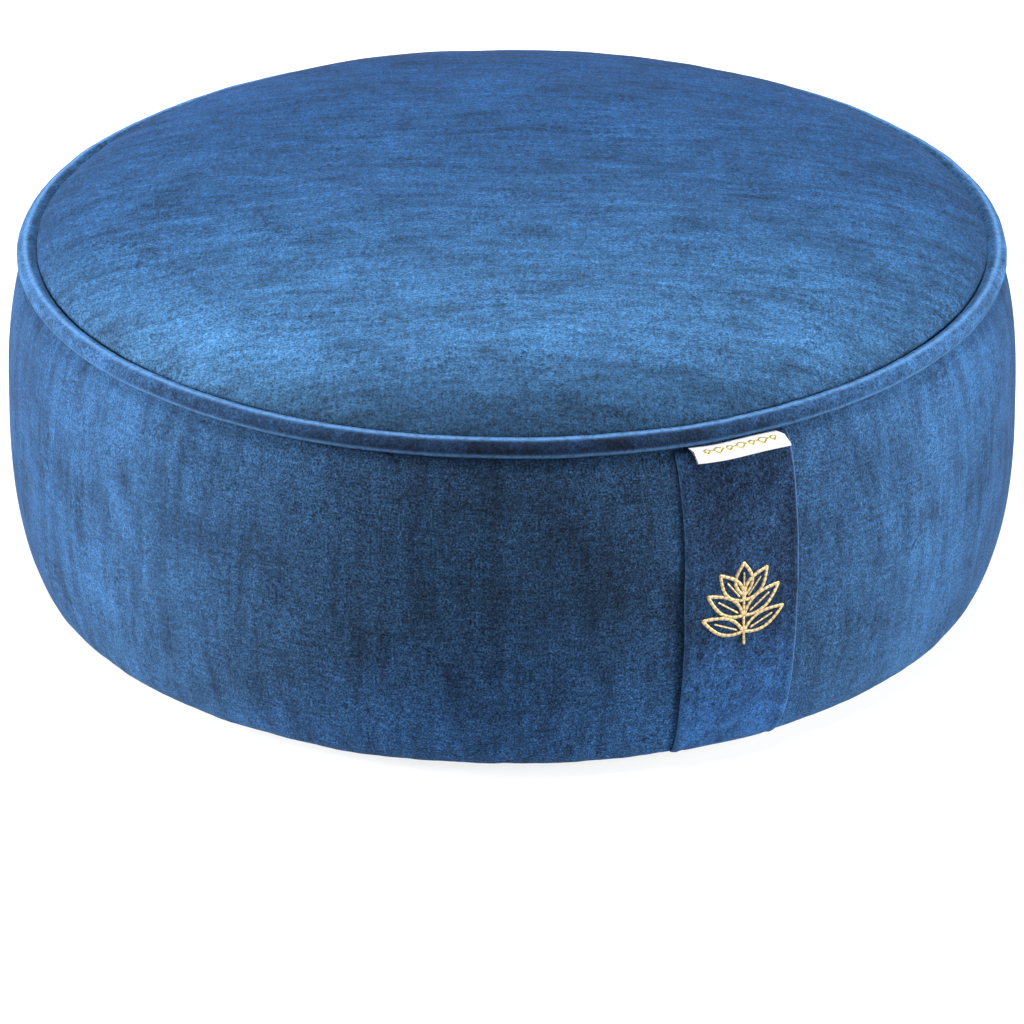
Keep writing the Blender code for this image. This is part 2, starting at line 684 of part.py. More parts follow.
def label(mat):
    """A ribbon folded into a loop, its fold outwards and both cut ends under the piping."""
    half_loop = 0.00055
    upper = [(r, z + half_loop) for r, z in LABEL_LINE]
    lower = [(r, z - half_loop) for r, z in LABEL_LINE]
    tip = (LABEL_LINE[-1][0] + 0.0007, LABEL_LINE[-1][1] - 0.0006)
    path = upper + [tip] + lower[::-1]

    def place(u, v):
        r, z = path[round(v * (len(path) - 1))]
        angle = -math.pi / 2 + (u - 0.5) * LABEL_WIDTH / WELT_RING_RADIUS
        return Vector((r * math.cos(angle), r * math.sin(angle), z))

    ribbon = grid_mesh("woven_label", 4, len(path) - 1, place, mat)
    shape = bmesh.new()
    shape.from_mesh(ribbon.data)
    bmesh.ops.recalc_face_normals(shape, faces=shape.faces)
    shape.to_mesh(ribbon.data)
    shape.free()
    solidify(ribbon, 0.00035)
    return ribbon


clear_scene()
CUSHION = new_collection("floor_cushion")
HELPERS = new_collection("cutters")


def build():
    velvet = material("navy_velvet", NAVY_VELVET, 0.85)
    welt = material("welt_velvet", WELT_NAVY, 0.85)
    cotton = material("liner_cotton", NATURAL_COTTON, 0.9)
    cord = material("cotton_cord", NATURAL_COTTON, 0.95)
    webbing = material("cotton_webbing", NATURAL_COTTON, 0.9)
    nickel = material("zip_nickel", NICKEL, 0.35, 1.0)
    top_panel(velvet)
    front_band(velvet)
    rear_bands(velvet)
    bottom_panel(velvet)
    welt_cover(welt)
    welt_cord(cord)
    liner(cotton)
    hull_fill(material("buckwheat_hulls", HULL_BROWN, 0.8))
    zips(material("zip_tape_navy", ZIP_NAVY, 0.9), material("zip_tape_cream", NATURAL_COTTON, 0.9),
         material("zip_coil_navy", ZIP_NAVY, 0.4), material("zip_coil_cream", NATURAL_COTTON, 0.4), nickel)
    handle(velvet, webbing)
    emblem(material("gold_thread", GOLD_THREAD, 0.45))
    label(material("label_satin", WHITE_SATIN, 0.5))


build()
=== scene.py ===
"""Looks for the round velvet floor cushion: fine cloth surfaces, seams, embroidery, label, zip, studio."""
import math

import bmesh
import bpy
import numpy as np
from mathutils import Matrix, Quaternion, Vector, noise


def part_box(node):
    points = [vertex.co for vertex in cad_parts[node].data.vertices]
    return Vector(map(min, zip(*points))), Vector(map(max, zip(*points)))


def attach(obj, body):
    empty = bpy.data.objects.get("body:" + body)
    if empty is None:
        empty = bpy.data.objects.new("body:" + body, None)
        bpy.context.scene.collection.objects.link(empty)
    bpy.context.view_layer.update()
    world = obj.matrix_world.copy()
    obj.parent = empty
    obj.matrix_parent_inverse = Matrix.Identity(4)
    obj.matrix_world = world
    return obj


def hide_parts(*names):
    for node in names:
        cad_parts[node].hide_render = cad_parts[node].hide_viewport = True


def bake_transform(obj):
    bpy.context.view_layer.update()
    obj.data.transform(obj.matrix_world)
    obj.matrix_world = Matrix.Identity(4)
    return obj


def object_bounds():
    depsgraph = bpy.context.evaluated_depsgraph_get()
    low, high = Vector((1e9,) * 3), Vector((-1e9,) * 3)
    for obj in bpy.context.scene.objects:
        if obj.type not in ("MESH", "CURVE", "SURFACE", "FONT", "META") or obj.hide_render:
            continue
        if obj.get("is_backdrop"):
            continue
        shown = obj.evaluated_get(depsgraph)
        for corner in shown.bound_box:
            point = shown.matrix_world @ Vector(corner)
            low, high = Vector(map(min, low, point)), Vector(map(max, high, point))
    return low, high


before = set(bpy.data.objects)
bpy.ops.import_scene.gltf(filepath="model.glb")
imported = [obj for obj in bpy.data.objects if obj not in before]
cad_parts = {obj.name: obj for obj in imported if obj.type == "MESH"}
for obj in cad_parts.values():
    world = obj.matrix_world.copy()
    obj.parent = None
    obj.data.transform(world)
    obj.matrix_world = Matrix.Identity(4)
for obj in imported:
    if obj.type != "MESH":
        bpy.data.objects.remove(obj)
cad_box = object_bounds()
TAU = 2 * math.pi

# ---- sizes shared with the model, metres ----
WELT_R, WELT_Z, WELT_TUBE = 0.2007, 0.1465, 0.0042
BELLY_R, BELLY_Z = 0.20995, 0.0785
SEAM_R, SEAM_Z = 0.1974, 0.1433
FOOT_R, FOOT_Z = 0.188, 0.003
ZIP_Z, MOUTH = 0.052, 0.0110
ZIP_START, ZIP_END = math.radians(30), math.radians(150)
COIL_R = 0.2083
HANDLE_W, HANDLE_LOW, HANDLE_HIGH = 0.050, 0.0060, 0.1412
HANDLE_MIDDLE, EMBLEM = 0.0745, 0.036
LABEL_W, LABEL_SHIFT = 0.038, 0.0011
CLOTH = 0.0014
STITCH_INSET = 0.0026
CROWN_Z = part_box("top_panel")[1][2]

# ---- the view ----
VIEW_AZ, VIEW_EL = -25.5, 24.7  # degrees round from the front, and degrees up
VIEW_DISTANCE, VIEW_HEIGHT = 3.13, 0.0739  # metres back, from a point this high on the Z axis
VIEW_TILT, VIEW_LENS = -0.84, 262.8  # degrees, millimetres
WORLD_LIGHT = 0.03


def lumps(x, y, z, scale, seed=0.0, depth=3):
    """Smooth noise, about -1 to 1, with features about scale metres across."""
    point = Vector((x / scale + seed, y / scale - seed, z / scale + 2 * seed))
    return noise.fractal(point, 1.0, 2.0, depth)


# ---- mesh helpers ----
def mesh_object(name, verts, faces, mat, cloth=None, edge=None):
    """A smooth-shaded mesh. cloth holds its flat cloth coordinates, and edge how strongly a painted highlight
    lies along its folds and rims.
    """
    mesh = bpy.data.meshes.new(name)
    mesh.from_pydata([tuple(v) for v in verts], [], faces)
    mesh.materials.append(mat)
    mesh.shade_smooth()
    if cloth is not None:
        attribute = mesh.attributes.new("cloth", "FLOAT_VECTOR", "POINT")
        attribute.data.foreach_set("vector", np.asarray(cloth, np.float32).ravel())
    if edge is not None:
        mesh.attributes.new("edge", "FLOAT", "POINT").data.foreach_set("value", edge)
    obj = bpy.data.objects.new(name, mesh)
    bpy.context.collection.objects.link(obj)
    return obj


def grid_faces(rows, columns, wrap_rows=False, wrap_columns=False):
    faces = []
    for i in range(rows if wrap_rows else rows - 1):
        for j in range(columns if wrap_columns else columns - 1):
            a, b = i, (i + 1) % rows
            c, d = j, (j + 1) % columns
            faces.append((a * columns + c, a * columns + d, b * columns + d, b * columns + c))
    return faces


def even_normals(obj):
    """Turn the faces of a closed shape all outwards."""
    edit = bmesh.new()
    edit.from_mesh(obj.data)
    bmesh.ops.recalc_face_normals(edit, faces=edit.faces)
    edit.to_mesh(obj.data)
    edit.free()
    return obj


def thicken(obj, thickness):
    modifier = obj.modifiers.new("thickness", "SOLIDIFY")
    modifier.thickness = thickness
    modifier.offset = -1.0
    return obj


def place(obj, body, slot, *nodes):
    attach(obj, body)
    if nodes:
        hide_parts(*nodes)
    return obj


# ---- materials ----
class Nodes:
    """A small wrapper that adds and links shader nodes."""

    def __init__(self, name):
        self.material = bpy.data.materials.new(name)
        self.material.use_nodes = True
        self.tree = self.material.node_tree
        self.shader = self.tree.nodes["Principled BSDF"]

    def add(self, kind, inputs=None, **settings):
        node = self.tree.nodes.new(kind)
        for key, value in settings.items():
            setattr(node, key, value)
        for key, value in (inputs or {}).items():
            if isinstance(value, bpy.types.NodeSocket):
                self.tree.links.new(value, node.inputs[key])
            else:
                node.inputs[key].default_value = value
        return node

    def set(self, **values):
        for key, value in values.items():
            socket = self.shader.inputs[key.replace("_", " ")]
            if isinstance(value, bpy.types.NodeSocket):
                self.tree.links.new(value, socket)
            else:
                socket.default_value = value
        return self

    def coordinates(self, attribute=None):
        if attribute:
            return self.add("ShaderNodeAttribute", attribute_name=attribute).outputs["Vector"]
        return self.add("ShaderNodeTexCoord").outputs["Object"]

    def scaled(self, vector, scale, turn=(0, 0, 0)):
        return self.add("ShaderNodeMapping", {"Vector": vector, "Scale": scale, "Rotation": turn}).outputs[0]

    def noise(self, vector, scale=1.0, detail=3.0, rough=0.55, distortion=0.0):
        values = {"Vector": vector, "Scale": scale, "Detail": detail, "Roughness": rough,
                  "Distortion": distortion}
        return self.add("ShaderNodeTexNoise", values).outputs["Fac"]

    def span(self, value, low, high, to_low=0.0, to_high=1.0):
        values = {"Value": value, "From Min": low, "From Max": high, "To Min": to_low, "To Max": to_high}
        return self.add("ShaderNodeMapRange", values, clamp=True).outputs[0]

    def math(self, operation, a, b):
        node = self.add("ShaderNodeMath", operation=operation)
        for socket, value in zip(node.inputs, (a, b)):
            if isinstance(value, bpy.types.NodeSocket):
                self.tree.links.new(value, socket)
            else:
                socket.default_value = value
        return node.outputs[0]

    def mix(self, factor, a, b, blend="MIX"):
        node = self.add("ShaderNodeMix", data_type="RGBA", blend_type=blend)
        for key, value in ((0, factor), (6, a), (7, b)):
            if isinstance(value, bpy.types.NodeSocket):
                self.tree.links.new(value, node.inputs[key])
            else:
                node.inputs[key].default_value = value
        return node.outputs[2]

    def bump(self, height, distance, strength=1.0):
        values = {"Height": height, "Distance": distance, "Strength": strength}
        return self.add("ShaderNodeBump", values).outputs[0]


def rgb(r, g, b):
    """A colour given as screen values 0 to 255."""
    return tuple(((c / 255 + 0.055) / 1.055) ** 2.4 if c > 10 else c / 3294 for c in (r, g, b)) + (1.0,)


SHEEN_TINT = (0.20, 0.50, 1.0, 1.0)
SHEEN_ROUGHNESS = 0.32
SHADE_SIDE = 113.5  # painted shade: the band's colour is painted darkest this many degrees clockwise from +X, where it faces the view, and opposite
BOUNCE_LIGHT_FADE = 12.0  # how quickly the painted bounce light low on the band fades with height, per metre


def velvet(name, dark, mid, light, brush, broad, along=None, painted_shading=(), sheen=0.1, edge=None, bite=None):
    """Short-pile velvet: broad pile shading, brush marks, clusters of tilted tufts, and a fine grain.

    along names the cloth coordinates, and without it the coordinates are turned to the view, so the brush
    marks run across the view and front points towards the camera. brush is the frequency of the brush marks
    along each axis, and broad that of the broad shading. painted_shading holds the painted light and shade,
    each as (measure, from, to, first, last): the pile's colour is multiplied by first at from, running to
    last at to.
    edge is the colour of a painted highlight along folds and rims. bite is (measure, from, to, power): the
    grain is harsher towards to.
    """
    n = Nodes(name)
    point = n.coordinates(along)
    if not along:
        point = n.add("ShaderNodeVectorRotate", {"Vector": point, "Angle": math.radians(-VIEW_AZ)},
                      rotation_type="Z_AXIS").outputs[0]
    broad_noise = n.noise(point, broad, 4, 0.62, 0.6)
    crossed = tuple(brush[k] for k in ((2, 1, 0) if along else (1, 0, 2)))
    marks = n.noise(n.scaled(point, brush), 1.0, 5, 0.7, 0.3)
    weft = n.noise(n.scaled(point, crossed, (0, 0, 0.25)), 1.0, 5, 0.7, 0.3)
    fine = n.noise(n.scaled(point, tuple(4.5 * c for c in crossed)), 1.0, 3, 0.65)
    grain = n.noise(point, 1150.0, 2, 0.75)
    tufts = n.noise(point, 420.0, 3, 0.75)
    cluster = n.noise(point, 46.0, 4, 0.7, 0.8)
    shade = n.math("ADD", n.math("MULTIPLY", broad_noise, 0.34),
                   n.math("ADD", n.math("MULTIPLY", marks, 0.52), n.math("MULTIPLY", weft, 0.14)))
    base = n.mix(n.span(shade, 0.36, 0.64), mid, light)
    spots = n.math("MULTIPLY", n.span(tufts, 0.52, 0.39), n.span(cluster, 0.47, 0.30))
    base = n.mix(n.math("MULTIPLY", spots, 0.75), base, dark)
    level = n.math("MULTIPLY", n.span(grain, 0.28, 0.72, 0.25, 1.75), n.span(tufts, 0.3, 0.7, 0.68, 1.32))
    level = n.math("MULTIPLY", level, n.span(fine, 0.3, 0.7, 0.84, 1.16))
    away = n.add("ShaderNodeSeparateXYZ", {"Vector": point}).outputs
    flat_point = n.scaled(point, (1, 1, 0))
    flat = n.add("ShaderNodeVectorMath", {"Vector": flat_point}, operation="LENGTH").outputs["Value"]
    # turn goes twice round per turn of the band; its cosine is 1 at SHADE_SIDE and opposite, where the band's
    # painted shade is darkest
    turn = n.math("ADD", n.math("MULTIPLY", away["X"], 2 / BELLY_R), math.radians(2 * SHADE_SIDE))
    # front points towards the camera when the coordinates are turned to the view; the painted light and shade
    # are laid out along these measures
    measures = {
        "height": away["Z"], "front": n.math("MULTIPLY", away["Y"], -1.0),
        "radius": n.math("ADD", flat, n.math("MULTIPLY", n.math("SUBTRACT", cluster, 0.5), 0.03)),
        "turn": n.math("COSINE", turn, 0.0),
    }
    # front left runs towards the camera's front left, where the seat's painted highlight lies
    measures["front left"] = n.math("SUBTRACT", measures["front"], away["X"])
    # painted bounce light from the floor: strongest low on the band where it faces the view
    measures["bounce_light"] = n.math("SUBTRACT", measures["turn"], n.math("MULTIPLY", away["Z"], BOUNCE_LIGHT_FADE))
    if bite:
        measure, start, end, power = bite
        level = n.math("POWER", level, n.span(measures[measure], start, end, 1.0, power))
    grey = n.add("ShaderNodeCombineColor", {"Red": level, "Green": level, "Blue": level}).outputs[0]
    base = n.mix(1.0, base, grey, "MULTIPLY")
    # painted light and shade: each entry brightens or darkens the pile colour by where it lies
    for measure, start, end, first, last in painted_shading:
        tone = n.mix(n.span(measures[measure], start, end), (*first, 1.0), (*last, 1.0))
        base = n.mix(1.0, base, tone, "MULTIPLY")
    # painted highlight along folds and rims, where the edge attribute is set
    if edge:
        fold = n.add("ShaderNodeAttribute", attribute_name="edge").outputs["Fac"]
        base = n.mix(n.math("MULTIPLY", fold, n.span(tufts, 0.3, 0.55, 0.45, 1.0)), base, edge)
    softer = n.math("MULTIPLY", n.math("ADD", fine, tufts), 0.9)
    relief = n.math("ADD", n.math("MULTIPLY", grain, 0.8), softer)
    n.set(Base_Color=base, Roughness=0.9, Normal=n.bump(relief, 0.0006, 0.8))
    n.set(Sheen_Weight=sheen, Sheen_Roughness=SHEEN_ROUGHNESS, Sheen_Tint=SHEEN_TINT)
    return n.set(Specular_IOR_Level=0.08).material


PILE = rgb(10, 15, 24), rgb(25, 44, 68), rgb(44, 81, 122)
WHOLE = (1.0, 1.0, 1.0)
BAND_PAINTED_SHADING = (
    # painted shade where the band faces the view, running to a painted highlight part way round
    ("turn", 1.0, -0.3, (0.42, 0.37, 0.35), (1.16, 1.15, 1.12)),
    # painted shade on the band's sides, seen edge-on
    ("turn", -0.2, -1.0, WHOLE, (0.48, 0.57, 0.64)),
    # painted bounce light along the foot of the band
    ("bounce_light", -0.05, 0.85, WHOLE, (1.80, 2.25, 2.60)),
    # painted shade along the top of the front band, under the piping
    ("height", 0.150, 0.175, WHOLE, (0.80, 0.78, 0.76)))
SEAT_PAINTED_SHADING = (
    # painted shade: the back of the seat, away from the view, darker and bluer
    ("front", -0.16, 0.02, (0.31, 0.51, 0.68), (0.62, 0.74, 0.80)),
    # painted highlight: brighter towards the front
    ("front", 0.02, 0.13, WHOLE, (1.95, 1.68, 1.44)),
    # painted shade: darker in the groove by the piping
    ("radius", 0.172, 0.198, WHOLE, (0.74, 0.73, 0.72)),
    # painted shade: the front shoulder, facing the view, darker
    ("front", 0.148, 0.190, WHOLE, (0.50, 0.49, 0.49)),
    # painted highlight: brighter at the front left, towards the key light
    ("front left", 0.215, 0.285, WHOLE, (1.50, 1.40, 1.32)))
# painted shade over the upper handle, running to painted light near its foot
HANDLE_PAINTED_SHADING = (("height", 0.070, 0.010, (0.41, 0.36, 0.37), (1.0, 1.2, 1.40)),)
WELT_PAINTED_SHADING = (
    # painted shade: the piping's middle, facing the view, darker
    ("front", 0.12, 0.20, WHOLE, (0.24, 0.22, 0.24)),
    # painted shade: the far piping darker
    ("front", -0.08, -0.18, WHOLE, (0.62, 0.62, 0.64)))
BAND_VELVET = velvet("band_velvet", *PILE, along="cloth", brush=(130, 26, 26), broad=34.0,
                     painted_shading=BAND_PAINTED_SHADING, sheen=0.06, bite=("turn", 0.0, 0.8, 1.7))
TOP_VELVET = velvet("seat_velvet", *PILE, brush=(34, 210, 40), broad=34.0, painted_shading=SEAT_PAINTED_SHADING, sheen=0.04)
# edge is the colour of the painted highlight along the piping's rims
WELT_VELVET = velvet("welt_velvet", *PILE, brush=(60, 60, 60), broad=60.0, painted_shading=WELT_PAINTED_SHADING, sheen=0.3,
                     edge=rgb(66, 103, 146))
# edge is the colour of the painted highlight along the handle's edges
HANDLE_VELVET = velvet("handle_velvet", *PILE, brush=(60, 60, 18), broad=40.0, painted_shading=HANDLE_PAINTED_SHADING,
                       sheen=0.08, edge=rgb(70, 108, 150), bite=("height", 0.015, 0.070, 1.6))
BASE_VELVET = velvet("base_velvet", *PILE, brush=(16, 60, 20), broad=30.0)


def woven(name, colour, pitch, relief=0.0001, fleck=0.12):
    """Plain-woven cloth: two crossed waves of yarn, pitch metres apart, and a little soil."""
    n = Nodes(name)
    point = n.coordinates()
    scale = TAU / pitch / 20  # at a scale of 1 the wave node repeats every TAU / 20
    waves = []
    for axis in ("X", "Z"):
        waves.append(n.add("ShaderNodeTexWave", {"Vector": point, "Scale": scale, "Distortion": 0.6},
                           bands_direction=axis).outputs["Fac"])
    weave = n.math("MAXIMUM", *waves)
    soil = n.noise(point, 60.0, 4, 0.6)
    shade = n.math("MULTIPLY", n.span(weave, 0, 1, 1 - fleck, 1.0), n.span(soil, 0.3, 0.7, 0.94, 1.0))
    grey = n.add("ShaderNodeCombineColor", {"Red": shade, "Green": shade, "Blue": shade}).outputs[0]
    n.set(Base_Color=n.mix(1.0, grey, colour, "MULTIPLY"), Roughness=0.75, Normal=n.bump(weave, relief, 0.6))
    return n.material


def metal(name, colour, rough):
    """Plated metal with smudges and fine wear."""
    n = Nodes(name)
    point = n.coordinates()
    wear = n.noise(n.scaled(point, (900, 900, 250)), 1.0, 3)
    smudge = n.noise(point, 300.0, 3)
    n.set(Base_Color=n.mix(n.span(smudge, 0.35, 0.65), colour, tuple(c * 0.82 for c in colour[:3]) + (1,)))
    n.set(Roughness=n.span(wear, 0.3, 0.7, rough - 0.06, rough + 0.1), Metallic=1.0)
    return n.set(Normal=n.bump(wear, 0.00003, 0.4)).material


def thread(name, colour, shadow):
    """Shiny thread: strands along the cloth coordinates, with shadow between them."""
    n = Nodes(name)
    point = n.coordinates("cloth")
    strands = n.add("ShaderNodeTexWave", {"Vector": point, "Scale": 140.0, "Distortion": 0.5, "Detail": 1.0},
                    bands_direction="X").outputs["Fac"]
    tone = n.noise(point, 260.0, 2)
    colour = n.mix(n.span(tone, 0.35, 0.65), colour, tuple(c * 0.8 for c in colour[:3]) + (1,))
    n.set(Base_Color=n.mix(n.span(strands, 0.45, 0.0, 0.0, 0.6), colour, shadow), Roughness=0.34)
    return n.set(Metallic=0.4, Normal=n.bump(strands, 0.00006, 0.5)).material


def plastic(name, colour):
    """Moulded plastic, slightly uneven in tone and gloss."""
    n = Nodes(name)
    tone = n.noise(n.coordinates(), 500.0, 3)
    n.set(Base_Color=n.mix(n.span(tone, 0.3, 0.7), colour, tuple(c * 0.75 for c in colour[:3]) + (1,)))
    return n.set(Roughness=n.span(tone, 0.3, 0.7, 0.32, 0.5)).material


GOLD = thread("gold_thread", rgb(184, 164, 120), rgb(92, 74, 44))
LABEL_GOLD = thread("label_gold", rgb(150, 132, 44), rgb(108, 92, 26))
WHITE_RIBBON = woven("white_ribbon", rgb(176, 176, 175), 0.0006, 0.00005, 0.05)
COTTON = woven("cotton_cloth", rgb(226, 218, 200), 0.0008)
NAVY_TAPE = woven("navy_tape", rgb(30, 44, 72), 0.0007)
NICKEL = metal("nickel", (0.30, 0.30, 0.29, 1), 0.30)
HULLS = woven("hull_brown", rgb(92, 62, 42), 0.003)
NAVY_THREAD = thread("navy_thread", rgb(58, 90, 140), rgb(18, 30, 50))
ZIP_PLASTIC = plastic("zip_coil_plastic", rgb(34, 50, 82))


# ---- the cushion's own shape ----
def side_radius(z):
    """The side's radius at a height: two superellipse quarters that meet at the belly."""
    if z >= BELLY_Z:
        rise = min((z - BELLY_Z) / (SEAM_Z - BELLY_Z), 1.0)
        near, power = SEAM_R, 2.4
    else:
        rise = min((BELLY_Z - z) / (BELLY_Z - FOOT_Z), 1.0)
        near, power = FOOT_R, 2.5
    return near + (BELLY_R - near) * (1 - rise ** 2.2) ** (1 / power)


def side_point(angle, z, out=0.0):
    """A point on the side at an angle about +Z, out metres off the surface along its normal."""
    step = 0.0004
    lean = (side_radius(z + step) - side_radius(z - step)) / (2 * step)
    normal = Vector((1.0, -lean)).normalized()
    r, h = side_radius(z) + normal.x * out, z + normal.y * out
    return (r * math.cos(angle), r * math.sin(angle), h)


def seat():
    """The domed top: polar rings out to the groove, then folded down into the top seam."""
    spokes, rings = 288, 84
    edge_r, edge_z = 0.1969, WELT_Z + 0.0027
    verts = [(0.0, 0.0, CROWN_Z)]
    for i in range(1, rings + 1):
        share = i / rings
        bend = math.pi / 2 * share ** 0.9
        r = edge_r * math.sin(bend) ** (2 / 2.7)
        level = edge_z + (CROWN_Z - edge_z) * math.cos(bend) ** (2 / 1.6)
        pull = math.exp(-(edge_r - r) / 0.013)
        for j in range(spokes):
            a = TAU * j / spokes
            x, y = r * math.cos(a), r * math.sin(a)
            pucker = lumps(math.cos(a) * 9, math.sin(a) * 9, r * 6, 1.0, 3.1) * 0.0007 * pull
            swell = lumps(x, y, 0, 0.085, 1.7, 2) * 0.0016 * (1 - pull)
            settle = lumps(x, y, 0, 0.022, 5.2, 2) * 0.0003 * (1 - pull)
            verts.append((x, y, min(level + pucker + swell + settle, CROWN_Z + 0.002)))
    for r, z in ((0.1963, WELT_Z + 0.0008), (0.1955, WELT_Z - 0.0002), (0.1925, WELT_Z - 0.0012)):
        verts += [(r * math.cos(TAU * j / spokes), r * math.sin(TAU * j / spokes), z) for j in range(spokes)]
    rows = rings + 3
    faces = [(0, 1 + j, 1 + (j + 1) % spokes) for j in range(spokes)]
    faces += [tuple(1 + k for k in face) for face in grid_faces(rows, spokes, wrap_columns=True)]
    obj = mesh_object("seat_velvet_panel", verts, faces, TOP_VELVET)
    face_out(obj)
    return thicken(obj, CLOTH)


def face_out(obj):
    """Turn an open sheet's faces away from the middle of the cushion."""
    edit = bmesh.new()
    edit.from_mesh(obj.data)
    bmesh.ops.recalc_face_normals(edit, faces=edit.faces)
    middle = Vector((0, 0, 0.08))
    push = sum((f.normal.dot(f.calc_center_median() - middle) * f.calc_area() for f in edit.faces), 0.0)
    if push < 0:
        bmesh.ops.reverse_faces(edit, faces=edit.faces)
    edit.to_mesh(obj.data)
    edit.free()


def side_rows(low, high, count):
    """Heights spread evenly along the side's curve, not in z."""
    fine = np.linspace(low, high, 900)
    radii = np.array([side_radius(z) for z in fine])
    travelled = np.concatenate([[0], np.cumsum(np.hypot(np.diff(radii), np.diff(fine)))])
    return np.interp(np.linspace(0, travelled[-1], count), travelled, fine), travelled[-1]


def band(name, start, end, low, high, rows, columns, folds):
    """Part of the boxing band. folds names the edges that are turned in: ends, zip_above, zip_below."""
    heights, length = side_rows(low, high, rows)
    verts, cloth = [], []
    for i, z in enumerate(heights):
        run = length * i / (rows - 1)
        for j in range(columns):
            share = j / (columns - 1)
            angle = start + (end - start) * share
            to_end = min(share, 1 - share) * (end - start) * BELLY_R
            x, y = math.cos(angle), math.sin(angle)
            near_top = math.exp(-(SEAM_Z - z) / 0.012)
            near_foot = math.exp(-(z - FOOT_Z) / 0.010)
            out = lumps(x * BELLY_R, y * BELLY_R, z, 0.070, 8.3, 2) * 0.0011
            out *= (1 - near_top) * (1 - near_foot)
            out += lumps(x * 11, y * 11, z * 8, 1.0, 4.4) * 0.0006 * (near_top + near_foot)
            if "ends" in folds:
                out -= 0.0017 * math.exp(-(to_end / 0.0013) ** 2)
            if "zip_above" in folds:
                out -= 0.0011 * math.exp(-((z - low) / 0.0012) ** 2)
            if "zip_below" in folds:
                out -= 0.0011 * math.exp(-((high - z) / 0.0012) ** 2)
            verts.append(side_point(angle, z, out))
            cloth.append((angle * BELLY_R, 0.0, run))
    obj = mesh_object(name, verts, grid_faces(rows, columns), BAND_VELVET, cloth=cloth)
    face_out(obj)
    return thicken(obj, CLOTH)


def base():
    """The underside: flat where it rests, turned up at its rim to meet the band."""
    spokes, rings = 160, 30
    verts = [(0.0, 0.0, 0.0)]
    for i in range(1, rings + 1):
        r = 0.1874 * (i / rings) ** 0.8
        for j in range(spokes):
            a = TAU * j / spokes
            x, y = r * math.cos(a), r * math.sin(a)
            lift = max(r - 0.176, 0.0) / 0.0114
            dent = max(lumps(x, y, 0, 0.05, 9.0, 2), 0.0) * 0.0006
            verts.append((x, y, 0.0028 * lift ** 1.6 + dent * (1 - lift)))
    faces = [(0, 1 + (j + 1) % spokes, 1 + j) for j in range(spokes)]
    faces += [tuple(1 + k for k in face) for face in grid_faces(rings, spokes, wrap_columns=True)]
    obj = mesh_object("base_velvet_panel", verts, faces, BASE_VELVET)
    face_out(obj)
    return thicken(obj, CLOTH)


def welt():
    """The piping: a bias strip round a cord, a little uneven, with its flange in the seam."""
    spokes, sides = 640, 34
    verts, edge = [], []
    slope = math.radians(20)
    for j in range(spokes):
        a = TAU * j / spokes
        x, y = math.cos(a), math.sin(a)
        drift = lumps(x * 4, y * 4, 0, 1.0, 6.6, 2) * 0.0004
        tube = WELT_TUBE * (1 + 0.035 * lumps(x * 26, y * 26, 0, 1.0, 2.2, 2))
        neck = math.asin(0.0012 / tube)
        for i in range(sides):
            bend = math.pi - neck - (TAU - 2 * neck) * i / (sides - 1)
            u, v = tube * math.cos(bend), tube * math.sin(bend)
            if i in (0, sides - 1):
                u -= 0.0045
            r = WELT_R + drift * 0.4 + u * math.cos(slope) - v * math.sin(slope)
            z = WELT_Z + drift + u * math.sin(slope) + v * math.cos(slope)
            verts.append((r * x, r * y, z))
            # painted highlight along the piping's top and bottom rims, where its sheen would catch the light
            turned = math.degrees(bend)
            edge.append(math.exp(-((turned - 60) / 13) ** 2) + 0.7 * math.exp(-((turned + 52) / 12) ** 2))
    faces = grid_faces(spokes, sides, wrap_rows=True)
    obj = mesh_object("piping_velvet", verts, faces, WELT_VELVET, edge=edge)
    face_out_of_ring(obj, sides)
    return thicken(obj, 0.001)


def face_out_of_ring(obj, sides):
    """The tube's faces point away from the piping's centre line."""
    face = obj.data.polygons[(sides - 1) * 3 + sides // 2]
    middle = face.center
    ring = Vector((middle.x, middle.y, 0)).normalized() * WELT_R
    ring.z = WELT_Z
    if face.normal.dot(middle - ring) < 0:
        obj.data.flip_normals()


# ---- handle ----
def strap_out(z):
    """How far the handle's face stands off the band: least at its two sewn ends."""
    share = math.sin(math.pi * min(max((z - HANDLE_LOW) / (HANDLE_HIGH - HANDLE_LOW), 0.0), 1.0))
    return 0.0008 + 0.0021 * share ** 0.5


def strap_point(across, z, out=0.0):
    """A point on the handle: across it, at a height, out metres above its face."""
    return side_point(-math.pi / 2 + across / BELLY_R, z, strap_out(z) + out)


